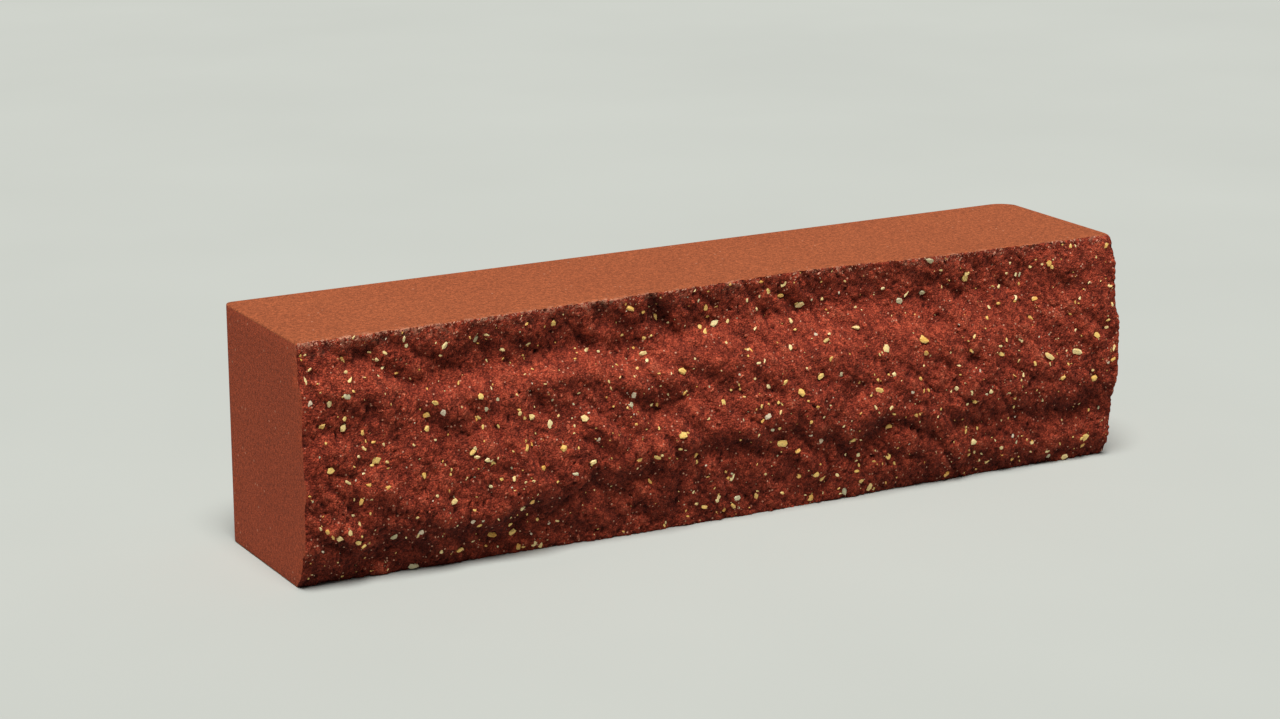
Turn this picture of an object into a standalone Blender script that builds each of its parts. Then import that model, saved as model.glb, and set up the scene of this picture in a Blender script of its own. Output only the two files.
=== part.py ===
"""Narrow pressed facing brick with one split stretcher face, and the crushed stone set in that face.

Metres, +Z up. The brick lies on its bed as it is laid: X runs along its length, the split face
looks towards -Y and the pressed back face towards +Y. The origin is at the bottom centre of its box.

The brick is one pressed body. Every larger chip of crushed stone that the split laid bare is a
separate solid, seated in a pocket of its own.
"""
import math

import bmesh
import bpy
import numpy as np
from mathutils import Matrix, Vector

MM = 0.001
PERCENT = 0.01

# Driving sizes of the brick.
LENGTH = 250 * MM
HEIGHT = 65 * MM
DEPTH = 56 * MM                 # from the back face to the foremost point of the split face
LEFT_CORNER_RADIUS = 2.3 * MM   # upright corner between the back face and the left end
RIGHT_CORNER_RADIUS = 6.5 * MM  # upright corner between the back face and the right end
ARRIS_WIDTH = 0.5 * MM          # blunted edges of the pressed faces
CORNER_SEGMENTS = 5             # facets of each upright corner
ARRIS_SEGMENTS = 2              # facets of each blunted edge
BLUNT_ANGLE = math.radians(60)  # edges that turn by more than this are blunted

# The split face.
FACE_CELL = 2.9 * MM            # spacing of the points that carry its relief
SURFACE_STEP = 1.0 * MM         # distance over which the slope of the face is taken
CUT_MARGIN = 6.0 * MM           # how far the splitting tool reaches in front of the brick

# The chips.
SEAT_GAP = 0.35 * MM            # room between a chip and its pocket
CHIP_PROUD = 0.30               # share of a chip's front-to-back size that stands out of the face
CHIP_THICKNESS = 0.85           # a chip's thickness against the smaller of its two face sizes
CHIP_POINTS = 14                # corners of one crushed chip before its hull is taken
CHIP_JOLT = 0.16                # how far they are knocked off an even ball, as a share of its radius
FRONT_CLEARANCE = 0.15 * MM     # chips stay this far behind the foremost point of the face
CHIP_SEED = 40

# Lines that run along the split face, from its top arris to its bottom arris. Each holds, at
# equally spaced stations from the left end to the right end, its height as a percentage of HEIGHT
# and its setback behind the foremost plane in millimetres.
FACE_LINES = (
    ((100, 7.0), (100, 7.6), (100, 8.6), (100, 10.4), (100, 6.6), (100, 4.7)),   # top arris
    ((86, 5.8), (80, 9.4), (80, 10.0), (84, 11.0), (83, 7.4), (90, 2.0)),        # hollow below it
    ((78, 4.0), (70, 3.6), (69, 3.4), (67, 2.2), (62, 1.0), (50, -0.3)),         # upper crest
    ((66, 4.6), (58, 4.3), (57, 4.4), (57, 1.9), (52, 0.6), (44, -0.3)),         # flute
    ((46, 3.6), (42, 2.4), (44, 1.2), (43, 0.2), (40, -0.6), (38, -0.6)),        # belly
    ((23, 4.2), (23, 2.2), (37, 1.4), (38, 0.4), (35, -0.4), (32, -0.2)),        # lip
    ((17, 5.0), (16, 4.8), (29, 3.0), (31, 2.2), (29, 1.8), (27, 1.8)),          # under the lip
    ((8, 7.8), (9, 6.4), (12, 4.8), (12, 4.0), (14, 2.4), (12, 1.4)),            # toe
    ((0, 10.9), (0, 8.6), (0, 6.0), (0, 5.4), (0, 5.4), (0, 4.4)),               # bottom arris
)

# Hollows torn out of the face: place along and up in percent, half length, half height and depth
# in millimetres, and the tilt of the long side in degrees. A depth below zero leaves a ridge.
HOLLOWS = (
    (41.8, 89, 3.0, 6.0, 2.8, 25),
    (21.4, 86, 3.2, 5.0, 2.4, 30),
    (7.0, 92, 7.0, 2.6, 1.5, 8),
    (34.5, 92, 3.6, 3.4, 1.4, 0),
    (7.6, 70, 2.2, 2.6, 1.6, 20),
    (26.4, 64, 2.6, 4.2, 1.8, 35),
    (46.5, 62, 6.0, 3.4, 1.5, -20),
    (40.0, 54, 3.0, 5.5, 1.6, 30),
    (50.0, 54, 3.0, 3.0, 1.0, 0),
    (65.0, 46, 3.6, 3.6, 1.5, 30),
    (80.5, 55, 2.4, 5.0, 1.7, 25),
    (84.0, 46, 2.2, 4.4, 1.2, 20),
    (93.5, 82, 5.0, 4.0, 1.2, 10),
    (5.6, 32, 2.2, 5.5, 1.5, 10),
    (9.0, 12, 5.0, 3.4, 1.4, 0),
    (22.5, 10, 5.5, 3.4, 1.3, 0),
    (56.0, 34, 6.0, 3.2, 1.3, 0),
    (95.5, 24, 5.0, 4.4, 1.4, 10),
    (33.5, 49, 2.8, 8.0, -1.7, 35),
    (24.0, 44, 2.6, 8.0, -1.0, 20),
    (59.0, 50, 3.0, 6.5, -1.2, 35),
)

# The fracture is drawn out along streaks that run down to the right. Sizes across a streak and
# heights are in millimetres.
STREAK_STRETCH = 2.0            # a streak's length against its width
STREAK_SLANT = math.radians(52)
SWELL_SIZE, SWELL_HEIGHT = 15.0, 0.9
FLUTE_SIZE, FLUTE_HEIGHT = 7.5, 1.5
FOLD_GAIN, FOLD_MEAN = 1.5, 0.42   # bring folded noise to about 0 to 1, and that range's mean
STREAK_SEED = 7
EDGE_CALM = 0.3                 # share of the streaks' height that is left at the arrises

# Waves that bend the face lines: size in millimetres and height as a share of HEIGHT.
WARPS = ((22.0, 0.05), (8.0, 0.03))
WARP_SEED = 3
CREASE = 0.03                   # share of HEIGHT over which the loft turns at a face line
LATTICE = 64                    # corners of the noise lattice before it repeats

# Chips laid bare by the split: kind, place along and up in percent, length and height in
# millimetres, and the tilt of the long side in degrees.
CHIPS = (
    ("grey", 4.7, 78, 2.6, 1.6, -10),
    ("cream", 4.4, 65, 2.1, 2.0, 0),
    ("cream", 3.0, 75, 2.7, 1.3, 100),
    ("ochre", 2.8, 49, 2.4, 1.9, 10),
    ("ochre", 7.8, 50, 2.9, 2.2, 80),
    ("ochre", 13.6, 65, 2.3, 1.5, 25),
    ("ochre", 14.4, 70, 2.1, 1.7, 0),
    ("ochre", 19.6, 70, 2.2, 1.5, -10),
    ("ochre", 18.4, 48, 2.3, 1.6, 50),
    ("ochre", 12.8, 42, 2.1, 1.5, 100),
    ("cream", 16.1, 29, 2.3, 1.6, 0),
    ("cream", 3.6, 21, 2.3, 1.5, 35),
    ("white", 12.6, 18, 1.9, 1.6, 20),
    ("grey", 9.9, 17, 2.5, 1.5, 15),
    ("ochre", 17.6, 6, 2.7, 1.8, 0),
    ("ochre", 21.2, 10, 3.2, 2.1, -15),
    ("cream", 24.1, 21, 2.5, 1.5, 100),
    ("ochre", 28.9, 44, 2.5, 2.0, 0),
    ("cream", 31.5, 55, 2.7, 2.3, 110),
    ("cream", 32.2, 36, 2.1, 1.6, 0),
    ("cream", 25.4, 58, 2.4, 1.4, 0),
    ("cream", 16.3, 91, 2.7, 1.4, 40),
    ("grey", 20.2, 91, 2.6, 1.4, 80),
    ("ochre", 38.1, 95, 3.0, 1.7, -10),
    ("cream", 39.7, 75, 3.6, 1.9, -10),
    ("ochre", 43.5, 67, 2.9, 2.1, -35),
    ("ochre", 47.7, 90, 2.4, 1.5, 95),
    ("cream", 48.8, 83, 3.2, 1.8, 10),
    ("ochre", 57.4, 90, 2.5, 1.5, 0),
    ("cream", 59.9, 85, 3.4, 2.0, 10),
    ("cream", 61.6, 71, 2.4, 1.6, 10),
    ("ochre", 57.8, 52, 2.8, 2.4, -40),
    ("ochre", 60.4, 57, 2.4, 1.8, 60),
    ("white", 53.3, 44, 2.0, 1.5, 0),
    ("ochre", 42.7, 42, 2.6, 1.8, -15),
    ("ochre", 55.6, 30, 4.1, 1.9, 0),
    ("ochre", 57.5, 26, 2.3, 1.4, 0),
    ("grey", 50.4, 9, 2.7, 1.5, -5),
    ("ochre", 46.4, 7, 2.2, 1.6, 10),
    ("ochre", 60.2, 14, 2.5, 1.5, 10),
    ("ochre", 64.5, 27, 3.1, 1.6, 0),
    ("cream", 65.9, 74, 2.8, 1.5, -10),
    ("ochre", 80.6, 88, 3.0, 2.7, 0),
    ("grey", 72.0, 82, 2.6, 1.7, -15),
    ("grey", 75.1, 84, 2.4, 1.5, 15),
    ("cream", 68.9, 65, 2.4, 2.2, 40),
    ("ochre", 73.9, 66, 3.0, 2.3, -20),
    ("ochre", 84.1, 55, 2.2, 1.6, -20),
    ("cream", 90.6, 51, 4.2, 2.0, -30),
    ("cream", 94.6, 51, 4.0, 2.0, -25),
    ("ochre", 96.9, 58, 2.8, 2.1, -30),
    ("ochre", 97.0, 38, 2.5, 2.4, 0),
    ("ochre", 67.6, 48, 3.1, 1.5, -10),
    ("ochre", 69.4, 30, 2.7, 1.8, 20),
    ("cream", 81.0, 17, 2.5, 2.1, 0),
    ("ochre", 89.4, 76, 2.7, 1.5, 0),
)

# Colours in 0 to 255, as seen, with each stone's own name.
BRICK_COLOUR = (176, 97, 62)
CHIP_COLOURS = {
    "ochre": (214, 178, 92),
    "cream": (226, 207, 152),
    "grey": (168, 178, 146),
    "white": (228, 222, 204),
}
BRICK_ROUGHNESS = 0.92
CHIP_ROUGHNESS = 0.6


def clear_scene():
    """Start from an empty scene."""
    for item in list(bpy.data.objects):
        bpy.data.objects.remove(item)


def new_collection(name):
    """A collection linked under the scene."""
    group = bpy.data.collections.new(name)
    bpy.context.scene.collection.children.link(group)
    return group


def new_object(name, bm, group, material=None):
    """Turn a bmesh into an object of the given collection."""
    mesh = bpy.data.meshes.new(name)
    bmesh.ops.recalc_face_normals(bm, faces=bm.faces)
    bm.to_mesh(mesh)
    bm.free()
    item = bpy.data.objects.new(name, mesh)
    group.objects.link(item)
    if material:
        mesh.materials.append(material)
    return item


def linear(channel):
    """Light carried by a display value between 0 and 255."""
    share = channel / 255
    return share / 12.92 if share <= 0.04045 else ((share + 0.055) / 1.055) ** 2.4


def new_material(name, colour, roughness):
    """A plain non-metallic material."""
    material = bpy.data.materials.new(name)
    material.use_nodes = True
    shader = material.node_tree.nodes["Principled BSDF"]
    shader.inputs["Base Color"].default_value = (*(linear(c) for c in colour), 1.0)
    shader.inputs["Roughness"].default_value = roughness
    shader.inputs["Metallic"].default_value = 0.0
    return material


def ease(share):
    """Go from 0 to 1 with a level start and a level end."""
    return share * share * (3.0 - 2.0 * share)


def lattice_noise(p, q, seed):
    """Smooth noise of about -1 to 1: every lattice corner has a slope of its own, eased together."""
    slopes = np.random.default_rng(seed).uniform(0.0, math.tau, (LATTICE, LATTICE))
    column = np.floor(p).astype(int)
    row = np.floor(q).astype(int)
    across = p - column
    up = q - row

    def corner(i, j):
        angle = slopes[(column + i) % LATTICE, (row + j) % LATTICE]
        return np.cos(angle) * (across - i) + np.sin(angle) * (up - j)

    blend = ease(across)
    low = corner(0, 0) * (1 - blend) + corner(1, 0) * blend
    high = corner(0, 1) * (1 - blend) + corner(1, 1) * blend
    rise = ease(up)
    return 1.5 * (low * (1 - rise) + high * rise)


def line_at(along, index):
    """Height share and setback of one face line at a share of the length."""
    stations = np.array(FACE_LINES[index], dtype=float)
    place = np.clip(along, 0.0, 1.0) * (len(stations) - 1)
    left = np.minimum(place.astype(int), len(stations) - 2)
    share = ease(place - left)
    height = stations[left, 0] * (1 - share) + stations[left + 1, 0] * share
    setback = stations[left, 1] * (1 - share) + stations[left + 1, 1] * share
    return height * PERCENT, setback


def lofted(along, up):
    """Setback of the plain loft: it runs straight from each face line to the next."""
    line_up, setback = line_at(along, 0)
    for index in range(1, len(FACE_LINES)):
        next_up, next_setback = line_at(along, index)
        share = np.clip((line_up - up) / (line_up - next_up), 0.0, 1.0)
        setback = setback + share * (next_setback - line_at(along, index - 1)[1])
        line_up = next_up
    return setback


def streaked(x, z, size, seed):
    """Noise drawn out along the streaks, with x and z in millimetres."""
    along = (x * math.cos(STREAK_SLANT) - z * math.sin(STREAK_SLANT)) / (size * STREAK_STRETCH)
    across = (x * math.sin(STREAK_SLANT) + z * math.cos(STREAK_SLANT)) / size
    return lattice_noise(along, across, seed)


def hollowed(x, z):
    """Depth of the torn hollows: each a smooth bowl around its own tilted centre."""
    depth = np.zeros_like(x)
    for along, up, half_length, half_height, bottom, tilt in HOLLOWS:
        angle = math.radians(tilt)
        right = x - along * PERCENT * LENGTH / MM
        rise = z - up * PERCENT * HEIGHT / MM
        p = (right * math.cos(angle) + rise * math.sin(angle)) / half_length
        q = (rise * math.cos(angle) - right * math.sin(angle)) / half_height
        depth += bottom * np.exp(-p * p - q * q)
    return depth


def bent_loft(along, up, x, z, edge):
    """The loft with its lines bent in waves and its creases turned softly."""
    bend = sum(height * lattice_noise(x / size, z / size, WARP_SEED + turn)
               for turn, (size, height) in enumerate(WARPS))
    return sum(lofted(along, np.clip(up + edge * (bend + side * CREASE), 0.0, 1.0))
               for side in (-1, 0, 1)) / 3


def fluted(x, z):
    """Setback of the streaks: broad swells, and round flutes that meet in sharp valleys."""
    swell = SWELL_HEIGHT * streaked(x, z, SWELL_SIZE, STREAK_SEED)
    folded = FOLD_GAIN * np.abs(streaked(x, z, FLUTE_SIZE, STREAK_SEED + 1))
    return swell + FLUTE_HEIGHT * (FOLD_MEAN - folded)


def rough_setback(along, up):
    """Setback in millimetres at shares of the length and the height, before it is levelled."""
    x = along * LENGTH / MM
    z = up * HEIGHT / MM
    edge = np.clip(4.0 * up * (1.0 - up), 0.0, 1.0)
    calm = EDGE_CALM + (1.0 - EDGE_CALM) * np.minimum(2.0 * edge, 1.0)
    return bent_loft(along, up, x, z, edge) + hollowed(x, z) + calm * fluted(x, z)


def face_grid():
    """Shares of length and height of the relief's points, half a cell past the brick all round."""
    columns = round(LENGTH / FACE_CELL)
    rows = round(HEIGHT / FACE_CELL)
    along = (np.arange(columns + 2) - 0.5) / columns
    up = (np.arange(rows + 2) - 0.5) / rows
    return np.meshgrid(along, up)


def foremost_setback():
    """The smallest setback on the relief's points, which sets where the box's front is."""
    along, up = face_grid()
    inside = (along > 0) & (along < 1) & (up > 0) & (up < 1)
    return rough_setback(along, up)[inside].min()


def face_y(along, up, foremost):
    """Place of the split face along Y, nowhere in front of the brick's box."""
    return -DEPTH / 2 + np.maximum(rough_setback(along, up) - foremost, 0.0) * MM


def pressed_block(group, material):
    """The brick as it leaves the press: five faces, rounded back corners and blunted arrises."""
    bm = bmesh.new()
    front = -DEPTH / 2 - CUT_MARGIN / 2
    back = DEPTH / 2
    bmesh.ops.create_cube(bm, size=1.0)
    bmesh.ops.scale(bm, vec=(LENGTH, back - front, HEIGHT), verts=bm.verts)
    bmesh.ops.translate(bm, vec=(0, (front + back) / 2, HEIGHT / 2), verts=bm.verts)
    for side, radius in ((-1, LEFT_CORNER_RADIUS), (1, RIGHT_CORNER_RADIUS)):
        corner = [edge for edge in bm.edges
                  if all(v.co.x * side > 0 and v.co.y > 0 for v in edge.verts)]
        bmesh.ops.bevel(bm, geom=corner, offset=radius, segments=CORNER_SEGMENTS, profile=0.5,
                        affect="EDGES")
    body = new_object("brick_body", bm, group, material)
    blunt = body.modifiers.new("blunted_arrises", "BEVEL")
    blunt.width = ARRIS_WIDTH
    blunt.segments = ARRIS_SEGMENTS
    blunt.limit_method = "ANGLE"
    blunt.angle_limit = BLUNT_ANGLE
    return body


def splitting_tool(group, foremost):
    """All that is in front of the split face: the relief as a grid, drawn forwards into a solid."""
    along, up = face_grid()
    rows, columns = along.shape
    depth = face_y(along, up, foremost)
    bm = bmesh.new()
    bmesh.ops.create_grid(bm, x_segments=columns - 1, y_segments=rows - 1, size=0.5)
    bm.verts.ensure_lookup_table()
    for vert in bm.verts:
        column = round((vert.co.x + 0.5) * (columns - 1))
        row = round((vert.co.y + 0.5) * (rows - 1))
        share = along[row, column]
        vert.co = Vector(((share - 0.5) * LENGTH, depth[row, column], up[row, column] * HEIGHT))
    drawn = bmesh.ops.extrude_face_region(bm, geom=list(bm.faces))
    for item in drawn["geom"]:
        if isinstance(item, bmesh.types.BMVert):
            item.co.y = -DEPTH / 2 - CUT_MARGIN
    new_object("splitting_tool", bm, group)


def crushed_points(number):
    """Corners of one crushed chip on a ball of radius 1, spread evenly and then jolted."""
    rng = np.random.default_rng(CHIP_SEED + number)
    step = np.arange(CHIP_POINTS)
    z = 1 - (2 * step + 1) / CHIP_POINTS
    turn = step * math.pi * (3 - math.sqrt(5))
    ring = np.sqrt(1 - z * z)
    points = np.stack([ring * np.cos(turn), ring * np.sin(turn), z], axis=1)
    points += rng.normal(0.0, CHIP_JOLT, points.shape)
    return points / np.linalg.norm(points, axis=1, keepdims=True)


def add_hull(bm, points, place):
    """Add the hull of the points, put in its place."""
    verts = [bm.verts.new(place @ Vector(point)) for point in points]
    bmesh.ops.convex_hull(bm, input=verts)


def chip_place(along, up, corners, tilt, foremost):
    """Seat of a chip: turned to the slope of the face, sunk so that only its top stands proud."""
    shares = np.array([along, along + SURFACE_STEP / LENGTH, along])
    rises = np.array([up, up, up + SURFACE_STEP / HEIGHT])
    here, beside, above = face_y(shares, rises, foremost)
    inwards = Vector((here - beside, SURFACE_STEP, here - above)).normalized()
    turn = inwards.to_track_quat("Y", "Z").to_matrix() @ Matrix.Rotation(-math.radians(tilt), 3, "Y")
    reach = -min((turn @ Vector(corner)).y for corner in corners)
    y = max(here + (1.0 - 2.0 * CHIP_PROUD) * reach, -DEPTH / 2 + FRONT_CLEARANCE + reach)
    return Matrix.Translation(((along - 0.5) * LENGTH, y, up * HEIGHT)) @ turn.to_4x4()


def add_chips(group, pockets, foremost):
    """Make every chip in its own material, and its pocket in the given bmesh."""
    materials = {kind: new_material(f"{kind}_stone", colour, CHIP_ROUGHNESS)
                 for kind, colour in CHIP_COLOURS.items()}
    count = dict.fromkeys(CHIP_COLOURS, 0)
    for number, (kind, along, up, length, height, tilt) in enumerate(CHIPS):
        count[kind] += 1
        thickness = CHIP_THICKNESS * height * MM
        radii = np.array([length * MM, thickness, height * MM]) / 2
        points = crushed_points(number)
        place = chip_place(along * PERCENT, up * PERCENT, points * radii, tilt, foremost)
        chip = bmesh.new()
        add_hull(chip, points * radii, place)
        new_object(f"{kind}_chip_{count[kind]:02d}", chip, group, materials[kind])
        add_hull(pockets, points * (radii + SEAT_GAP), place)


def cut(body, cutters):
    """Take the splitting tool and the pockets away from the body in one go."""
    for cutter in cutters.objects:
        cutter.hide_render = True
        cutter.display_type = "WIRE"
    modifier = body.modifiers.new("split_face_and_pockets", "BOOLEAN")
    modifier.operation = "DIFFERENCE"
    modifier.solver = "EXACT"
    modifier.operand_type = "COLLECTION"
    modifier.collection = cutters


def main():
    """Build the brick and its chips."""
    clear_scene()
    parts = new_collection("split_face_brick")
    cutters = new_collection("cutters")
    foremost = foremost_setback()
    body = pressed_block(parts, new_material("pressed_brick", BRICK_COLOUR, BRICK_ROUGHNESS))
    splitting_tool(cutters, foremost)
    pockets = bmesh.new()
    add_chips(parts, pockets, foremost)
    new_object("chip_pockets", pockets, cutters)
    cut(body, cutters)


main()
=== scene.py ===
"""Split-face facing brick: its pressed and split surfaces, its crushed stone, and a plain stage.

The brick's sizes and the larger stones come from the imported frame. The relief of the split face
repeats the rule of the solid model and adds the crumbs that a solid model is too coarse for.
Lengths inside the formulas are millimetres; meshes are metres.
"""
import math

import bmesh
import bpy
import numpy as np
from bpy.props import FloatProperty, FloatVectorProperty, IntProperty, PointerProperty
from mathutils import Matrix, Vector, geometry


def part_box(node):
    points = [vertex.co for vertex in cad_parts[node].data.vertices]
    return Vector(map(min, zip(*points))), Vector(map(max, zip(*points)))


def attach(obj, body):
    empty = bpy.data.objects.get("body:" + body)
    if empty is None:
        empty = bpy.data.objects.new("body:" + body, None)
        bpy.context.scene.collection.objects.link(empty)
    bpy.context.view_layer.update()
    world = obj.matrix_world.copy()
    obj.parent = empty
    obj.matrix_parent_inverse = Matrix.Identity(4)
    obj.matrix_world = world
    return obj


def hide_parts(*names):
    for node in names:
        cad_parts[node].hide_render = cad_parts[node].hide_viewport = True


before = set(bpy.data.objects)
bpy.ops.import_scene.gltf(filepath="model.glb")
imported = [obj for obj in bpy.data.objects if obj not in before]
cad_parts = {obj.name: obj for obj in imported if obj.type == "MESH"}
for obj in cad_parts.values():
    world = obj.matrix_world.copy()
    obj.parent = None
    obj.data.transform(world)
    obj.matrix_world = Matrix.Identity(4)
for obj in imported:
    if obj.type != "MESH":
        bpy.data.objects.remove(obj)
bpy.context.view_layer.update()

bl_info = {
    "name": "Split-face brick",
    "version": (1, 0, 0),
    "blender": (4, 5, 0),
    "location": "3D View > Sidebar > Brick",
    "description": "Builds a split-face facing brick with its crushed stone on a plain stage",
    "category": "Add Mesh",
}

MM = 0.001
PERCENT = 0.01
BODY = "root"
BRICK_NODE = "brick_body"
CHIP_KINDS = ("ochre", "cream", "grey", "white")

BRICK_LOW, BRICK_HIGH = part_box(BRICK_NODE)
LENGTH = (BRICK_HIGH.x - BRICK_LOW.x) / MM
HEIGHT = (BRICK_HIGH.z - BRICK_LOW.z) / MM
FRONT = BRICK_LOW.y / MM
BACK = BRICK_HIGH.y / MM

# Lines that run along the split face, from its top arris to its bottom arris. Each holds, at
# equally spaced stations from the left end to the right end, its height as a percentage of HEIGHT
# and its setback behind the foremost plane in millimetres.
FACE_LINES = (
    ((100, 7.0), (100, 7.6), (100, 8.6), (100, 10.4), (100, 6.6), (100, 4.7)),   # top arris
    ((86, 5.8), (80, 9.4), (80, 10.0), (84, 11.0), (83, 7.4), (90, 2.0)),        # hollow below it
    ((78, 4.0), (70, 3.6), (69, 3.4), (67, 2.2), (62, 1.0), (50, -0.3)),         # upper crest
    ((66, 4.6), (58, 4.3), (57, 4.4), (57, 1.9), (52, 0.6), (44, -0.3)),         # flute
    ((46, 3.6), (42, 2.4), (44, 1.2), (43, 0.2), (40, -0.6), (38, -0.6)),        # belly
    ((23, 4.2), (23, 2.2), (37, 1.4), (38, 0.4), (35, -0.4), (32, -0.2)),        # lip
    ((17, 5.0), (16, 4.8), (29, 3.0), (31, 2.2), (29, 1.8), (27, 1.8)),          # under the lip
    ((8, 7.8), (9, 6.4), (12, 4.8), (12, 4.0), (14, 2.4), (12, 1.4)),            # toe
    ((0, 10.9), (0, 8.6), (0, 6.0), (0, 5.4), (0, 5.4), (0, 4.4)),               # bottom arris
)

# Hollows torn out of the face: place along and up in percent, half length, half height and depth
# in millimetres, and the tilt of the long side in degrees. A depth below zero leaves a ridge.
HOLLOWS = (
    (41.8, 89, 3.0, 6.0, 2.8, 25),
    (21.4, 86, 3.2, 5.0, 2.4, 30),
    (7.0, 92, 7.0, 2.6, 1.5, 8),
    (34.5, 92, 3.6, 3.4, 1.4, 0),
    (7.6, 70, 2.2, 2.6, 1.6, 20),
    (26.4, 64, 2.6, 4.2, 1.8, 35),
    (46.5, 62, 6.0, 3.4, 1.5, -20),
    (40.0, 54, 3.0, 5.5, 1.6, 30),
    (50.0, 54, 3.0, 3.0, 1.0, 0),
    (65.0, 46, 3.6, 3.6, 1.5, 30),
    (80.5, 55, 2.4, 5.0, 1.7, 25),
    (84.0, 46, 2.2, 4.4, 1.2, 20),
    (93.5, 82, 5.0, 4.0, 1.2, 10),
    (5.6, 32, 2.2, 5.5, 1.5, 10),
    (9.0, 12, 5.0, 3.4, 1.4, 0),
    (22.5, 10, 5.5, 3.4, 1.3, 0),
    (56.0, 34, 6.0, 3.2, 1.3, 0),
    (95.5, 24, 5.0, 4.4, 1.4, 10),
    (33.5, 49, 2.8, 8.0, -1.7, 35),
    (24.0, 44, 2.6, 8.0, -1.0, 20),
    (59.0, 50, 3.0, 6.5, -1.2, 35),
)

# The fracture is drawn out along streaks that run down to the right. Sizes across a streak and
# heights are in millimetres.
STREAK_STRETCH = 2.0            # a streak's length against its width
STREAK_SLANT = math.radians(52)
SWELL_SIZE, SWELL_HEIGHT = 15.0, 0.9
FLUTE_SIZE, FLUTE_HEIGHT = 7.5, 1.5
FOLD_GAIN, FOLD_MEAN = 1.5, 0.42   # bring folded noise to about 0 to 1, and that range's mean
STREAK_SEED = 7
EDGE_CALM = 0.3                 # share of the streaks' height that is left at the arrises

# Waves that bend the face lines: size in millimetres and height as a share of HEIGHT.
WARPS = ((22.0, 0.05), (8.0, 0.03))
WARP_SEED = 3
CREASE = 0.03                   # share of HEIGHT over which the loft turns at a face line
LATTICE = 64                    # corners of the noise lattice before it repeats
FACE_CELL = 2.9                 # spacing of the solid model's relief, which sets its foremost point

# Relief that is finer than the solid model's. Sizes are in millimetres.
SLOPE_STEP = 0.6                # distance over which the slope of the face is taken
FADE = 1.5                      # the finer relief dies away this near to the face's border
KNOB_SIZES = (4.4, 2.5)         # the smaller knobs are half as high as the larger ones
CRUMB_SIZE = 1.5
FINE_GAIN, FINE_MEAN = 1.6, 0.45   # FOLD_GAIN and FOLD_MEAN of the crumbs and the torn streaks
GRAIN_MEAN = 0.45
TEAR_WIDTH = 1.3                # width of a torn streak
UPRIGHT_TEAR, SLANTING_TEAR = 4.4, 4.0   # its length at the left end and further on
TEAR_TURN, TEAR_BLEND = 45.0, 60.0       # where streaks start to slant, and over what distance
PIT_SIZE, PIT_LEVEL, PIT_LIMIT = 1.2, 0.34, 0.5
PATCH_SIZE, PATCH_MEAN = 6.0, 0.55       # patches in which the pits lie
KNOB_SEED, CRUMB_SEED, GRAIN_SEED, PIT_SEED, PATCH_SEED, TEAR_SEED = 20, 22, 23, 24, 25, 26
# How far the face stands out over a point, taken in these directions and at these distances: the
# mask that paints shade and light into the split face and its crumbs.
SHELTER_ANGLES = np.radians([30.0, 60.0, 90.0, 120.0, 150.0])
SHELTER_REACHES = (1.8, 3.5, 6.0)
SHELTER_SLOPES = (-0.7, 1.0)    # steeper slopes than these count as these
COLLAR_SPREAD = 0.75            # how sharply the matrix rises again beside a seated stone
COLLAR_SEAT = 0.55              # share of a chip's depth down to which the matrix is drawn back

# Wear of the arrises, in millimetres. A lane is a line across the noise lattice.
NICK_LANES = (0.37, 0.71)
NICK_FINENESS = 0.37            # size of the finer nicks against the coarser ones
NICK_LEVEL = 0.25
FRONT_NICKS, UPPER_NICKS, LOWER_NICKS = (43, 9.0), (51, 7.0), (61, 8.0)   # seed and size
WEAR_LEAST, WEAR_SWING, WEAR_SIZE, WEAR_REACH = 0.10, 0.45, 2.6, 0.9
TOP_WEAR, BOTTOM_WEAR = (0.8, 0.7), (0.5, 0.3)   # shares of it that go back, and down or up
CHAFE_SWING, CHAFE_SIZE = 0.05, 0.9
WEAR_LANE, WEAR_SEED, CHAFE_LANE, CHAFE_SEED = 0.3, 41, 0.6, 55
DIAGONAL = 0.7                  # share of a bite that is taken off each of the two faces it meets
LIP_FALL = 90.0                 # how fast the top face levels out behind the split face
DUST_FALL, DUST_RUN = 1.5, 0.6  # how far dust lies down the split face and in over the top
DUST_LEFT, DUST_LOSS = 1.15, 0.8   # its amount at the left end, and how much less lies at the right

# Larger stones that the fracture's own edges cut through: distance from the left end, height
# and size, in millimetres.
BORDER_STONES = {
    "ochre": ((194.5, 2.2, 2.4), (241.8, 3.9, 2.6), (241.3, 6.8, 2.4), (247.9, 62.2, 2.4),
              (166.0, 4.7, 2.0), (59.0, 6.3, 2.2), (61.4, 1.8, 2.0), (136.7, 63.4, 2.0)),
    "cream": ((1.7, 55.4, 2.2), (169.1, 2.1, 2.8), (248.1, 50.7, 2.8), (248.6, 33.0, 2.0)),
    "grey": ((31.4, 1.2, 3.2), (189.1, 63.9, 2.4), (230.6, 1.9, 2.2), (160.8, 2.3, 2.8)),
    "white": ((2.0, 50.0, 1.6),),
}


# ---------------------------------------------------------------- relief of the split face

def ease(share):
    """Go from 0 to 1 with a level start and a level end."""
    return share * share * (3.0 - 2.0 * share)


def lattice_noise(p, q, seed):
    """Smooth noise of about -1 to 1: each lattice corner has a slope of its own, eased together."""
    slopes = np.random.default_rng(seed).uniform(0.0, math.tau, (LATTICE, LATTICE))
    column = np.floor(p).astype(int)
    row = np.floor(q).astype(int)
    across = p - column
    up = q - row

    def corner(i, j):
        angle = slopes[(column + i) % LATTICE, (row + j) % LATTICE]
        return np.cos(angle) * (across - i) + np.sin(angle) * (up - j)

    blend = ease(across)
    low = corner(0, 0) * (1 - blend) + corner(1, 0) * blend
    high = corner(0, 1) * (1 - blend) + corner(1, 1) * blend
    rise = ease(up)
    return 1.5 * (low * (1 - rise) + high * rise)


def folded(noise, gain=FOLD_GAIN, mean=FOLD_MEAN):
    """Noise folded at zero, so that round lumps meet in sharp valleys, less its mean."""
    return gain * np.abs(noise) - mean


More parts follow.
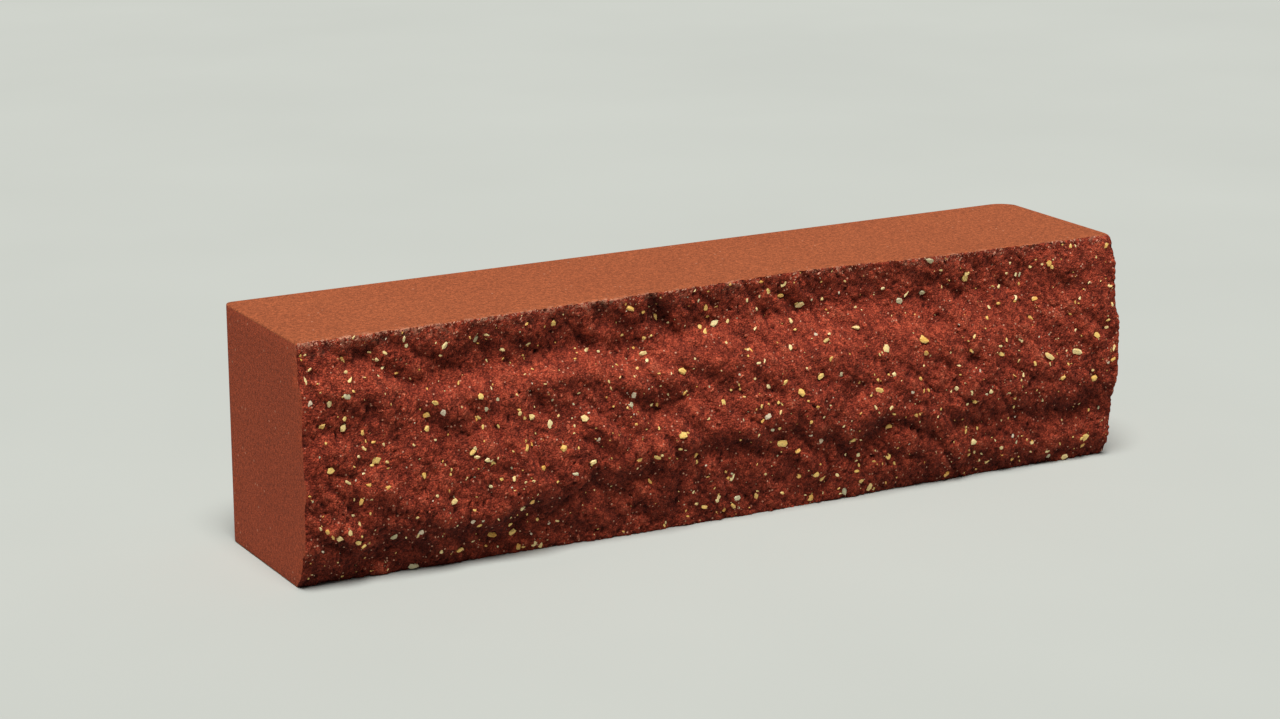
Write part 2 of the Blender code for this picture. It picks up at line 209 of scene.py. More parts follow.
def grain_caps(p, q, seed):
    """Round grains packed in a plane: each cell holds one ball, and the highest cap counts."""
    rng = np.random.default_rng(seed)
    shift = rng.uniform(0.15, 0.85, (LATTICE, LATTICE, 2))
    radius = rng.uniform(0.35, 0.95, (LATTICE, LATTICE))
    column = np.floor(p).astype(int)
    row = np.floor(q).astype(int)
    best = np.zeros_like(p)
    for i in (-1, 0, 1):
        for j in (-1, 0, 1):
            a = (column + i) % LATTICE
            b = (row + j) % LATTICE
            right = column + i + shift[a, b, 0] - p
            rise = row + j + shift[a, b, 1] - q
            cap = radius[a, b] ** 2 - right ** 2 - rise ** 2
            best = np.maximum(best, np.sqrt(np.maximum(cap, 0.0)))
    return best


def line_at(along, index):
    """Height share and setback of one face line at a share of the length."""
    stations = np.array(FACE_LINES[index], dtype=float)
    place = np.clip(along, 0.0, 1.0) * (len(stations) - 1)
    left = np.minimum(place.astype(int), len(stations) - 2)
    share = ease(place - left)
    height = stations[left, 0] * (1 - share) + stations[left + 1, 0] * share
    setback = stations[left, 1] * (1 - share) + stations[left + 1, 1] * share
    return height * PERCENT, setback


def lofted(along, up):
    """Setback of the plain loft: it runs straight from each face line to the next."""
    line_up, line_setback = line_at(along, 0)
    setback = line_setback
    for index in range(1, len(FACE_LINES)):
        next_up, next_setback = line_at(along, index)
        share = np.clip((line_up - up) / (line_up - next_up), 0.0, 1.0)
        setback = setback + share * (next_setback - line_setback)
        line_up, line_setback = next_up, next_setback
    return setback


def slanted(x, z):
    """Distances along and across the streaks."""
    return (x * math.cos(STREAK_SLANT) - z * math.sin(STREAK_SLANT),
            x * math.sin(STREAK_SLANT) + z * math.cos(STREAK_SLANT))


def streaked(x, z, size, seed):
    """Noise drawn out along the streaks."""
    along, across = slanted(x, z)
    return lattice_noise(along / (size * STREAK_STRETCH), across / size, seed)


def hollowed(x, z):
    """Depth of the torn hollows: each a smooth bowl around its own tilted centre."""
    depth = np.zeros_like(x)
    for along, up, half_length, half_height, bottom, tilt in HOLLOWS:
        angle = math.radians(tilt)
        right = x - along * PERCENT * LENGTH
        rise = z - up * PERCENT * HEIGHT
        p = (right * math.cos(angle) + rise * math.sin(angle)) / half_length
        q = (rise * math.cos(angle) - right * math.sin(angle)) / half_height
        depth += bottom * np.exp(-p * p - q * q)
    return depth


def bent_loft(along, up, x, z, edge):
    """The loft with its lines bent in waves and its creases turned softly."""
    bend = sum(height * lattice_noise(x / size, z / size, WARP_SEED + turn)
               for turn, (size, height) in enumerate(WARPS))
    return sum(lofted(along, np.clip(up + edge * (bend + side * CREASE), 0.0, 1.0))
               for side in (-1, 0, 1)) / 3


def fluted(x, z):
    """Setback of the streaks: broad swells, and round flutes that meet in sharp valleys."""
    swell = SWELL_HEIGHT * streaked(x, z, SWELL_SIZE, STREAK_SEED)
    return swell - FLUTE_HEIGHT * folded(streaked(x, z, FLUTE_SIZE, STREAK_SEED + 1))


def rough_setback(x, z):
    """Setback of the relief at a distance from the left end and a height, before it is levelled."""
    along = x / LENGTH
    up = z / HEIGHT
    edge = np.clip(4.0 * up * (1.0 - up), 0.0, 1.0)
    calm = EDGE_CALM + (1.0 - EDGE_CALM) * np.minimum(2.0 * edge, 1.0)
    return bent_loft(along, up, x, z, edge) + hollowed(x, z) + calm * fluted(x, z)


def foremost_setback():
    """The smallest setback on the solid model's own points."""
    columns = round(LENGTH / FACE_CELL)
    rows = round(HEIGHT / FACE_CELL)
    x, z = np.meshgrid((np.arange(columns) + 0.5) / columns * LENGTH,
                       (np.arange(rows) + 0.5) / rows * HEIGHT)
    return rough_setback(x, z).min()


FOREMOST = foremost_setback()


def broad_y(x, z):
    """Place of the broad relief along Y, with x from the left end."""
    return FRONT + np.maximum(rough_setback(x, z) - FOREMOST, 0.0)


def knobs(x, z, shape):
    """Height of the knobs over the broad relief: round lumps a few millimetres wide that meet in
    sharp valleys, drawn out along the streaks."""
    large, small = (folded(streaked(x, z, size, KNOB_SEED + turn))
                    for turn, size in enumerate(KNOB_SIZES))
    return shape.knob_height * (large + 0.5 * small)


def torn(x, z):
    """Fine noise drawn out the way the brick tore: upright at the left end, and slanting down to
    the right further on."""
    upright = lattice_noise(x / TEAR_WIDTH, z / UPRIGHT_TEAR, TEAR_SEED)
    along, across = slanted(x, z)
    aslant = lattice_noise(along / SLANTING_TEAR, across / TEAR_WIDTH, TEAR_SEED + 1)
    share = ease(np.clip((x - TEAR_TURN) / TEAR_BLEND, 0.0, 1.0))
    return upright * (1 - share) + aslant * share


def crumbs(x, z, shape):
    """Height of the crumbs over the knobs: small lumps, torn streaks, a coat of grains, and pits
    where grains broke out."""
    lumps = folded(lattice_noise(x / CRUMB_SIZE, z / CRUMB_SIZE, CRUMB_SEED), FINE_GAIN, FINE_MEAN)
    tears = folded(torn(x, z), FINE_GAIN, FINE_MEAN)
    grain = grain_caps(x, z, GRAIN_SEED) - GRAIN_MEAN
    pit = np.clip(lattice_noise(x / PIT_SIZE, z / PIT_SIZE, PIT_SEED) - PIT_LEVEL, 0.0, PIT_LIMIT)
    patch = np.clip(PATCH_MEAN + streaked(x, z, PATCH_SIZE, PATCH_SEED), 0.0, 1.0)
    return (shape.crumb_height * lumps + shape.drag_height * tears + shape.grain_height * grain
            - shape.pit_depth * pit * patch)


def shelter(x, z, shape):
    """How far the face beside and above a point stands out over it: the mean slope from the point
    up to its neighbours in the upper half circle, at three distances. Below zero it is exposed.
    The split face and its crumbs take it as a mask that paints shade into their colour where the
    face stands out and paints light into it where the face is exposed."""
    here = broad_y(x, z) - knobs(x, z, shape)
    slopes = []
    for angle in SHELTER_ANGLES:
        for reach in SHELTER_REACHES:
            right = x + reach * math.cos(angle)
            above = z + reach * math.sin(angle)
            there = broad_y(right, above) - knobs(right, above, shape)
            slopes.append(np.clip((here - there) / reach, *SHELTER_SLOPES))
    return np.mean(slopes, axis=0)


def stone_collars(x, y, z):
    """Draw the matrix back beside each seated stone, so that its broken face stays in sight."""
    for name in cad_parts:
        if name == BRICK_NODE:
            continue
        low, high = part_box(name)
        right = (x - LENGTH / 2 - (low.x + high.x) / 2 / MM) / ((high.x - low.x) / 2 / MM)
        rise = (z - (low.z + high.z) / 2 / MM) / ((high.z - low.z) / 2 / MM)
        hold = np.exp(-(COLLAR_SPREAD * (right ** 2 + rise ** 2)) ** 2)
        seat = ((1 - COLLAR_SEAT) * low.y + COLLAR_SEAT * high.y) / MM
        y = y + hold * np.maximum(seat - y, 0.0)
    return y


def split_surface(x, z, shape):
    """Points, outward normals and crumb height of the split face at the given places."""
    y = broad_y(x, z)
    slope_x = (broad_y(x + SLOPE_STEP, z) - y) / SLOPE_STEP
    slope_z = (broad_y(x, z + SLOPE_STEP) - y) / SLOPE_STEP
    size = np.sqrt(1.0 + slope_x ** 2 + slope_z ** 2)
    normal = np.stack([slope_x / size, -1.0 / size, slope_z / size], axis=-1)
    height = knobs(x, z, shape) + crumbs(x, z, shape)
    inside_x = np.clip(np.minimum(x, LENGTH - x) / FADE, 0.0, 1.0)
    inside_z = np.clip(np.minimum(z, HEIGHT - z) / FADE, 0.0, 1.0)
    points = np.stack([
        x - LENGTH / 2 + normal[..., 0] * height * inside_x,
        np.maximum(stone_collars(x, y + normal[..., 1] * height, z), FRONT),
        z + normal[..., 2] * height * inside_z,
    ], axis=-1)
    return points, normal, height


# ---------------------------------------------------------------- meshes

def mark(mesh, label, values):
    """Give every corner of a mesh a number that its material can read."""
    layer = mesh.attributes.new(label, "FLOAT", "POINT")
    layer.data.foreach_set("value", values.astype(np.float32).ravel())


def new_piece(name, points, faces, materials, slots=None, marks=None):
    """Make a mesh object from arrays. faces is a list of index arrays, one for each face size."""
    mesh = bpy.data.meshes.new(name)
    loops = np.concatenate([part.ravel() for part in faces]).astype(np.int32)
    sizes = np.concatenate([np.full(len(part), part.shape[1]) for part in faces])
    starts = np.concatenate([[0], np.cumsum(sizes)[:-1]]).astype(np.int32)
    mesh.vertices.add(len(points))
    mesh.vertices.foreach_set("co", (points * MM).astype(np.float32).ravel())
    mesh.loops.add(len(loops))
    mesh.loops.foreach_set("vertex_index", loops)
    mesh.polygons.add(len(sizes))
    mesh.polygons.foreach_set("loop_start", starts)
    mesh.polygons.foreach_set("use_smooth", np.ones(len(sizes), dtype=bool))
    if slots is not None:
        mesh.polygons.foreach_set("material_index", slots.astype(np.int32))
    mesh.update(calc_edges=True)
    for label, values in (marks or {}).items():
        mark(mesh, label, values)
    for material in materials:
        mesh.materials.append(material)
    piece = bpy.data.objects.new(name, mesh)
    bpy.context.scene.collection.objects.link(piece)
    return piece


def face_outwards(piece, sharp_angle):
    """Turn a closed mesh's faces outwards and keep its true edges crisp."""
    bm = bmesh.new()
    bm.from_mesh(piece.data)
    bmesh.ops.recalc_face_normals(bm, faces=bm.faces)
    bm.to_mesh(piece.data)
    bm.free()
    piece.data.set_sharp_from_angle(angle=sharp_angle)


def crowded(count):
    """Shares from 0 to 1 that crowd together at both ends, like points seen round a half circle."""
    return 0.5 - 0.5 * np.cos(np.linspace(0.0, math.pi, count))


def round_in(distance, radius):
    """How far a rounded corner of this radius falls back at a distance from its end."""
    reach = np.clip(radius - distance, 0.0, radius)
    return radius - np.sqrt(radius ** 2 - reach ** 2)


def column_places(step, width):
    """Distances from the left end: even steps, crowded where the end arrises turn."""
    turn = width * np.array([0.0, 0.1, 0.3, 0.6])
    inner = np.linspace(width, LENGTH - width, round((LENGTH - 2 * width) / step) + 1)
    return np.concatenate([turn, inner, LENGTH - turn[::-1]])


def noise_along(x, size, lane, seed):
    """Noise that changes along the brick's length only."""
    return lattice_noise(x / size, np.full_like(x, lane), seed)


def nicks(x, seed, size, depth):
    """Small bites out of an arris: only the highest parts of a coarse and a fine noise together."""
    bite = (noise_along(x, size, NICK_LANES[0], seed)
            + 0.5 * noise_along(x, size * NICK_FINENESS, NICK_LANES[1], seed + 1))
    return depth * np.clip(bite - NICK_LEVEL, 0.0, 1.0)


def brick_rows(shape):
    """The brick's outline at every column, as closed rings of points that start at the bottom of
    the split face, run up it, back over the top, down the back and forward under the bed."""
    width = shape.arris_width
    x = column_places(shape.face_step, width)
    low = round_in(np.minimum(x, LENGTH - x), width)
    high = HEIGHT - low
    back = (BACK - round_in(x, shape.left_corner_radius)
            - round_in(LENGTH - x, shape.right_corner_radius))
    rim = back - width

    def rings_at(y, z):
        """Points of one or more rings, at every column."""
        return np.stack(np.broadcast_arrays(x - LENGTH / 2, y, z), axis=-1)

    share = np.linspace(0.0, 1.0, round(HEIGHT / shape.face_step) + 1)[:, None]
    z = low + share * (high - low)
    face, _, height = split_surface(x + 0 * z, z, shape)
    wear = (WEAR_LEAST + WEAR_SWING * np.abs(noise_along(x, WEAR_SIZE, WEAR_LANE, WEAR_SEED))
            + nicks(x, *FRONT_NICKS, shape.nick_depth))
    near_top = wear * np.clip(1.0 - (high - z) / WEAR_REACH, 0.0, 1.0) ** 2
    near_bottom = wear * np.clip(1.0 - (z - low) / WEAR_REACH, 0.0, 1.0) ** 2
    face[..., 1] += TOP_WEAR[0] * near_top + BOTTOM_WEAR[0] * near_bottom
    face[..., 2] -= TOP_WEAR[1] * near_top - BOTTOM_WEAR[1] * near_bottom
    face[..., 2] = np.clip(face[..., 2], low, high)

    across = crowded(shape.bed_rows)[1:, None]
    lip_y, lip_z = face[-1, :, 1], face[-1, :, 2]
    top = rings_at(lip_y + across * (rim - lip_y),
                   high - np.exp(-across * LIP_FALL) * (high - lip_z))
    turn = np.radians([30.0, 60.0, 90.0])[:, None]
    bite = (nicks(x, *UPPER_NICKS, 0.5 * shape.nick_depth)
            + CHAFE_SWING * np.abs(noise_along(x, CHAFE_SIZE, CHAFE_LANE, CHAFE_SEED)))
    upper = rings_at(rim + width * np.sin(turn) - DIAGONAL * bite * np.cos(turn),
                     high - width + width * np.cos(turn) - DIAGONAL * bite)
    down = crowded(shape.back_rows)[1:-1, None]
    rear = rings_at(back, high - width - down * (high - low - 2 * width))
    turn = np.radians([0.0, 30.0, 60.0, 90.0])[:, None]
    bite = nicks(x, *LOWER_NICKS, 0.5 * shape.nick_depth)
    lower = rings_at(rim + width * np.cos(turn) - DIAGONAL * bite * np.sin(turn),
                     low + width - width * np.sin(turn) + DIAGONAL * bite * np.cos(turn))
    bed = rings_at(rim + across[:-1] * (face[0, :, 1] - rim), low)

    rings = np.concatenate([face, top, upper, rear, lower, bed])
    rows = len(face)
    relief, shade_light_mask, dust = np.zeros((3, *rings.shape[:2]))
    relief[:rows] = height
    # Mask for painted shade where the face stands out over a point, and painted light where it is
    # exposed.
    shade_light_mask[:rows] = shelter(x + 0 * z, z, shape)
    dust[:rows] = np.exp(-(high - z) / DUST_FALL)
    dust[rows:rows + len(top)] = np.exp(-(top[..., 1] - lip_y) / DUST_RUN)
    dust *= np.clip(DUST_LEFT - DUST_LOSS * x / LENGTH, 0.0, 1.0)
    return rings, rows, {"relief": relief, "shelter": shade_light_mask, "dust": dust}


CAP_SPACING = 4.0               # millimetres
CAP_GAP = 0.45                  # lattice points keep this share of the spacing from the outline


def end_cap(outline):
    """Close one end: the outline and a sparse lattice inside it, joined by the Delaunay rule.

    Returns the inner points in Y and Z and the triangles, which count the outline's points first.
    """
    count = len(outline)
    low, high = outline.min(axis=0) + CAP_SPACING, outline.max(axis=0)
    y, z = np.meshgrid(np.arange(low[0], high[0], CAP_SPACING),
                       np.arange(low[1], high[1], CAP_SPACING))
    lattice = np.stack([y.ravel(), z.ravel()], axis=1)
    gap = np.linalg.norm(lattice[:, None] - outline[None], axis=2).min(axis=1)
    front = np.interp(lattice[:, 1], outline[:count // 2, 1], outline[:count // 2, 0])
    lattice = lattice[(gap > CAP_SPACING * CAP_GAP) & (lattice[:, 0] > front)]
    flat = np.concatenate([outline, lattice]).tolist()
    ring = np.stack([np.arange(count), np.roll(np.arange(count), -1)], axis=1).tolist()
    faces = geometry.delaunay_2d_cdt(flat, ring, [], 1, 1e-9)[2]
    return lattice, np.array(faces)


BED_SLOT, SPLIT_SLOT, SIDE_SLOT = range(3)


def brick_mesh(shape, materials):
    """The whole brick as one closed skin: the rings joined side by side and capped at both ends."""
    rings, face_rows, values = brick_rows(shape)
    rows, columns = rings.shape[:2]
    index = np.arange(rows * columns).reshape(rows, columns)
    after = np.roll(index, -1, axis=0)
    quads = np.stack([index[:, :-1], index[:, 1:], after[:, 1:], after[:, :-1]], axis=-1)
    slots = np.full(quads.shape[:2], SIDE_SLOT)
    slots[:face_rows - 1] = SPLIT_SLOT
    slots[face_rows - 1:face_rows - 1 + shape.bed_rows] = BED_SLOT
    slots[-shape.bed_rows:] = BED_SLOT
    points = [rings.reshape(-1, 3)]
    triangles = []
    total = rows * columns
    for column in (0, columns - 1):
        inner, faces = end_cap(rings[:, column, 1:])
        wall = rings[0, column, 0]
        points.append(np.column_stack([np.full(len(inner), wall), inner]))
        numbers = np.concatenate([index[:, column], total + np.arange(len(inner))])
        triangles.append(numbers[faces])
        total += len(inner)
    points = np.concatenate(points)
    triangles = np.concatenate(triangles)
    spare = np.zeros(len(points) - rows * columns)
    piece = new_piece(
        "brick", points, [quads.reshape(-1, 4), triangles], materials,
        slots=np.concatenate([slots.ravel(), np.full(len(triangles), SIDE_SLOT)]),
        marks={label: np.concatenate([value.ravel(), spare]) for label, value in values.items()})
    face_outwards(piece, math.radians(55))
    return piece


GOLDEN = (1 + math.sqrt(5)) / 2
STONE_CORNERS = np.array([
    (-1, GOLDEN, 0), (1, GOLDEN, 0), (-1, -GOLDEN, 0), (1, -GOLDEN, 0),
    (0, -1, GOLDEN), (0, 1, GOLDEN), (0, -1, -GOLDEN), (0, 1, -GOLDEN),
    (GOLDEN, 0, -1), (GOLDEN, 0, 1), (-GOLDEN, 0, -1), (-GOLDEN, 0, 1)]) / math.hypot(1, GOLDEN)
STONE_FACES = np.array([
    (0, 11, 5), (0, 5, 1), (0, 1, 7), (0, 7, 10), (0, 10, 11), (1, 5, 9), (5, 11, 4),
    (11, 10, 2), (10, 7, 6), (7, 1, 8), (3, 9, 4), (3, 4, 2), (3, 2, 6), (3, 6, 8),
    (3, 8, 9), (4, 9, 5), (2, 4, 11), (6, 2, 10), (8, 6, 7), (9, 8, 1)])


# Shares of a stone's radius.
STONE_JOLT = (0.75, 1.25)
BREAKS, BREAK_DISTANCE = 4, (0.45, 0.85)
FRONT_LEVEL, FRONT_TILT = 0.34, 0.25
STONE_WIDTH = (0.4, 0.9)        # a small stone's width against its length
STONE_SWELL = 1.10              # makes up in width for what the breaks take off
# Millimetres.
SEAT_LIFT = 0.25                # a seated stone stands this much further out than its chip
MARGIN = 0.02                   # small stones stay this far inside the brick's ends and beds


def broken_stones(count, rng):
    """Corners of many crushed stones about one unit in radius: a twenty-sided ball is jolted and
    broken flat by random planes, which draw the corners beyond them back onto themselves. The
    third direction ends in a flat break of its own."""
    corners = STONE_CORNERS[None] * rng.uniform(*STONE_JOLT, (count, len(STONE_CORNERS), 1))
    for _ in range(BREAKS):
        facing = rng.normal(size=(count, 1, 3))
        facing /= np.linalg.norm(facing, axis=2, keepdims=True)
        beyond = (corners * facing).sum(axis=2, keepdims=True)
        beyond -= rng.uniform(*BREAK_DISTANCE, (count, 1, 1))
        corners = corners - facing * np.maximum(beyond, 0.0)
    tilt = FRONT_TILT * rng.normal(size=(count, 1, 2))
    level = FRONT_LEVEL + (corners[..., :2] * tilt).sum(axis=2)
    corners[..., 2] = np.clip(corners[..., 2], -1.0, level)
    return corners


def stone_piece(name, points, rng, material):
    """Join stones into one piece. Each has crisp facets and a random tone; points holds the corners
    of one stone after the other."""
    count = len(points)
    faces = STONE_FACES[None] + len(STONE_CORNERS) * np.arange(count)[:, None, None]
    tone = np.repeat(rng.uniform(0.0, 1.0, count), len(STONE_CORNERS))
    piece = new_piece(name, points.reshape(-1, 3), [faces.reshape(-1, 3)], [material],
                      marks={"tone": tone})
    piece.data.polygons.foreach_set("use_smooth", np.zeros(len(piece.data.polygons), dtype=bool))
    return piece


def seated_stones(name, nodes, rng, material):
    """Crushed stones in the seats of the larger chips: each takes its chip's own long, middle and
    short direction and its size along them, with the flat break facing out of the brick."""
    centres, axes, halves = [], [], []
    for node in nodes:
        corners = np.empty(3 * len(node.data.vertices))
        node.data.vertices.foreach_get("co", corners)
        corners = corners.reshape(-1, 3) / MM
        centre = (corners.min(axis=0) + corners.max(axis=0)) / 2
        directions = np.linalg.svd(corners - centre, full_matrices=False)[2]
        facing = np.abs(directions[:, 1]).argmax()
        directions = directions[[row for row in range(3) if row != facing] + [facing]]
        directions[2] *= -np.sign(directions[2, 1])
        directions[0] *= np.linalg.det(directions)   # keeps the stone from being turned inside out
        centres.append(centre)
        axes.append(directions)
        halves.append(np.abs((corners - centre) @ directions.T).max(axis=0))
    shapes = broken_stones(len(nodes), rng) * np.array(halves)[:, None]
    shapes[..., :2] *= STONE_SWELL
    points = np.array(centres)[:, None] + shapes @ np.array(axes)
    points[..., 1] = np.maximum(points[..., 1] - SEAT_LIFT, FRONT)
    return stone_piece(name, points, rng, material)


def swarm(name, place, sizes, shape, rng, material, flatness, sunk):
    """Many small crushed stones: each is stretched along a random direction of the face, flattened
    along its normal and sunk into it. place holds x and z; flatness and sunk are shares of a
    stone's size."""
    surface, normals, _ = split_surface(*place, shape)
    centres = surface - normals * (sizes * sunk)[:, None]
    count = len(centres)
    corners = broken_stones(count, rng) * STONE_SWELL
    helper = np.where(np.abs(normals[:, 2:]) < 0.9, [[0.0, 0.0, 1.0]], [[1.0, 0.0, 0.0]])
    side = np.cross(normals, helper)
    side /= np.linalg.norm(side, axis=1, keepdims=True)
    rise = np.cross(normals, side)
    turn = rng.uniform(0.0, math.tau, (count, 1))
    first = side * np.cos(turn) + rise * np.sin(turn)
    second = rise * np.cos(turn) - side * np.sin(turn)
    half = sizes[:, None] / 2
    width = half * rng.uniform(*STONE_WIDTH, (count, 1))
    axes = np.stack([first * half, second * width, normals * half * flatness], axis=1)
    points = centres[:, None] + corners @ axes
    points[..., 0] = np.clip(points[..., 0], MARGIN - LENGTH / 2, LENGTH / 2 - MARGIN)
    points[..., 1] = np.maximum(points[..., 1], FRONT)
    points[..., 2] = np.clip(points[..., 2], MARGIN, HEIGHT - MARGIN)
    return stone_piece(name, points, rng, material)


def scattered(rng, count, gap, top_gap):
    """Random places on the split face that keep a gap from its ends and its bottom arris, and
    another from its top arris."""
    return rng.uniform(gap, LENGTH - gap, count), rng.uniform(gap, HEIGHT - top_gap, count)


def random_sizes(rng, count, middle, spread, least, most):
    """Stone sizes spread on a log scale around a middle size, within limits."""
    return np.clip(middle * np.exp(rng.normal(0.0, spread, count)), least, most)


def settle(piece):
    """Fix a piece to the brick's body."""
    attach(piece, BODY)


# ---------------------------------------------------------------- shader groups and materials

def linear(colour):
    """Light carried by a display colour."""
    shares = np.array(colour[:3])
    light = np.where(shares <= 0.04045, shares / 12.92, ((shares + 0.055) / 1.055) ** 2.4)
    return (*light.tolist(), 1.0)


class Nodes:
    """Short spellings for building one node tree."""

    def __init__(self, tree):
        self.tree = tree

    def add(self, kind, settings=None, **inputs):
        """Add a node, set its plain settings, and set or link its inputs by name."""
        node = self.tree.nodes.new(kind)
        for key, value in (settings or {}).items():
            setattr(node, key, value)
        for key, value in inputs.items():
            self.feed(node, key.replace("_", " "), value)
        return node

    def feed(self, node, key, value):
        """Set an input, or link it if the value is a socket."""
        socket = node.inputs[int(key)] if key.isdigit() else node.inputs[key]
        if isinstance(value, bpy.types.NodeSocket):
            self.tree.links.new(value, socket)
        else:
            socket.default_value = value

    def math(self, operation, first, second=0.0):
        """A Math node on two values."""
        return self.add("ShaderNodeMath", {"operation": operation},
                        **{"0": first, "1": second}).outputs[0]

    def mix(self, factor, first, second, blend="MIX"):
        """A colour mix."""
        return self.add("ShaderNodeMix", {"data_type": "RGBA", "blend_type": blend},
                        **{"0": factor, "6": first, "7": second}).outputs[2]

    def ramp(self, factor, low, high):
        """Stretch the range from low to high to 0 to 1."""
        return self.add("ShaderNodeMapRange", {"clamp": True},
                        **{"0": factor, "1": low, "2": high}).outputs[0]

    def clouds(self, place, scale, detail=2.0, roughness=0.5):
        """Smooth noise of about 0 to 1."""
        return self.add("ShaderNodeTexNoise", Vector=place, Scale=scale, Detail=detail,
                        Roughness=roughness).outputs[0]

    def marked(self, label):
        """A number that the mesh carries."""
        return self.add("ShaderNodeAttribute", {"attribute_name": label}).outputs["Fac"]


def group_tree(name, numbers, outputs):
    """A new shader group that takes a vector and named numbers and gives out named values. Returns
    its node helper, its inputs and its output node."""
    tree = bpy.data.node_groups.new(name, "ShaderNodeTree")
    tree.interface.new_socket("Vector", in_out="INPUT", socket_type="NodeSocketVector")
    for label, default in numbers.items():
        socket = tree.interface.new_socket(label, in_out="INPUT", socket_type="NodeSocketFloat")
        socket.default_value = default
    for label in outputs:
        tree.interface.new_socket(label, in_out="OUTPUT", socket_type="NodeSocketFloat")
    nodes = Nodes(tree)
    return nodes, nodes.add("NodeGroupInput").outputs, nodes.add("NodeGroupOutput")


def sand_group(name):
    """Sand grain: a fine speckle, a random value for each grain, the dark gaps between grains, and
    a height. Each value runs from 0 to 1."""
    nodes, given, result = group_tree(name, {"Grains per metre": 1800.0},
                                      ("Speckle", "Grain", "Gap", "Height"))
    scale = given["Grains per metre"]
    fine = nodes.clouds(given["Vector"], nodes.math("MULTIPLY", scale, 1.5), roughness=0.6)
    coarse = nodes.clouds(given["Vector"], nodes.math("MULTIPLY", scale, 0.4), roughness=0.6)
    cells = nodes.add("ShaderNodeTexVoronoi", Vector=given["Vector"], Scale=scale)
    random = nodes.add("ShaderNodeSeparateColor", Color=cells.outputs["Color"])
    both = nodes.math("ADD", nodes.math("MULTIPLY", fine, 0.55),
                      nodes.math("MULTIPLY", coarse, 0.45))
    rounded = nodes.math("SUBTRACT", 1.0, cells.outputs["Distance"])
    nodes.feed(result, "Speckle", nodes.ramp(both, 0.38, 0.62))
    nodes.feed(result, "Grain", random.outputs[0])
    nodes.feed(result, "Gap", nodes.ramp(cells.outputs["Distance"], 0.30, 0.68))
    nodes.feed(result, "Height", nodes.math("ADD", nodes.math("MULTIPLY", rounded, 0.6),
                                            nodes.math("MULTIPLY", both, 0.8)))
    return nodes.tree


def mottle_group(name):
    """Broad mottle: soft clouds a few centimetres wide, as a value around 0.5."""
    nodes, given, result = group_tree(name, {"Clouds per metre": 45.0}, ("Tone",))
    cloud = nodes.clouds(given["Vector"], given["Clouds per metre"], detail=3.0)
    nodes.feed(result, "Tone", nodes.ramp(cloud, 0.3, 0.7))
    return nodes.tree


def fleck_group(name):
    """Stray flecks: rare round specks of stone, as a mask."""
    nodes, given, result = group_tree(name, {"Cells per metre": 450.0, "Share": 0.05}, ("Mask",))
    cells = nodes.add("ShaderNodeTexVoronoi", Vector=given["Vector"],
                      Scale=given["Cells per metre"])
    parts = nodes.add("ShaderNodeSeparateColor", Color=cells.outputs["Color"])
    rare = nodes.math("LESS_THAN", parts.outputs[0], given["Share"])
    near = nodes.math("LESS_THAN", cells.outputs["Distance"], 0.3)
    nodes.feed(result, "Mask", nodes.math("MULTIPLY", rare, near))
    return nodes.tree


def shared_group(name):
    """The named shader group, built the first time that it is asked for."""
    makers = {"Sand grain": sand_group, "Broad mottle": mottle_group, "Stray flecks": fleck_group}
    return bpy.data.node_groups.get(name) or makers[name](name)


def new_material(name):
    """An empty material. Returns it with its node helper, shader and object coordinates."""
    material = bpy.data.materials.new(name)
    material.use_nodes = True
    nodes = Nodes(material.node_tree)
    shader = material.node_tree.nodes["Principled BSDF"]
    place = nodes.add("ShaderNodeTexCoord").outputs["Object"]
    return material, nodes, shader, place


def use_group(nodes, name, place, **inputs):
    """Place a shared group in a material and return what it gives out."""
    return nodes.add("ShaderNodeGroup", {"node_tree": shared_group(name)}, Vector=place,
                     **inputs).outputs


def finish(nodes, shader, colour, height, roughness, specular, depth, strength):
    """Set a grainy surface's colour, gloss and bump, whose depth is in millimetres."""
    nodes.feed(shader, "Base Color", colour)
    shader.inputs["Roughness"].default_value = roughness
    shader.inputs["Specular IOR Level"].default_value = specular
    bump = nodes.add("ShaderNodeBump", Height=height, Distance=depth * MM, Strength=strength)
    nodes.feed(shader, "Normal", bump.outputs[0])


def shade(value, paleness=1.0):
    """A multiplier of this brightness, with its green and blue stronger by the paleness."""
    return (value, value * paleness, value * paleness, 1.0)


def grained(nodes, colour, sand, speckle, grain, gap, paleness=1.0):
    """Multiply a colour by the sand's speckle, by each grain's own shade and by its dark gaps. Each
    strength is how far the brightness swings to either side, and bright grains turn paler."""
    fine, own = (nodes.mix(sand[value], shade(1 - swing, 1 / paleness), shade(1 + swing, paleness))
                 for value, swing in (("Speckle", speckle), ("Grain", grain)))
    joint = nodes.mix(sand["Gap"], shade(1 + 0.3 * gap), shade(1 - gap))
    pattern = nodes.mix(1.0, nodes.mix(1.0, fine, own, "MULTIPLY"), joint, "MULTIPLY")
    return nodes.mix(1.0, colour, pattern, "MULTIPLY")


def paint_shade_and_light(nodes, colour, dark, light):
    """Paint shade into a colour where the face stands out over it, and paint light into it where
    the face is exposed.
    """
    shade_light_mask = nodes.marked("shelter")
    # Painted shade: darker and redder where the face stands out over a point. Painted light:
    # brighter and paler where it is exposed.
    deep = nodes.mix(nodes.ramp(shade_light_mask, 0.00, 0.42), shade(1.0), shade(dark, 0.86))
    painted_light = nodes.mix(nodes.ramp(shade_light_mask, -0.02, -0.40), shade(1.0), shade(light, 1.08))
    return nodes.mix(1.0, nodes.mix(1.0, colour, deep, "MULTIPLY"), painted_light, "MULTIPLY")


MATRIX_GRAIN = {"speckle": 0.48, "grain": 0.34, "gap": 0.38}
# Painted shade and painted light: how dark the sheltered places and how bright the exposed places
# of the matrix are painted.
MATRIX_PAINTED_SHADING = {"dark": 0.38, "light": 1.14}


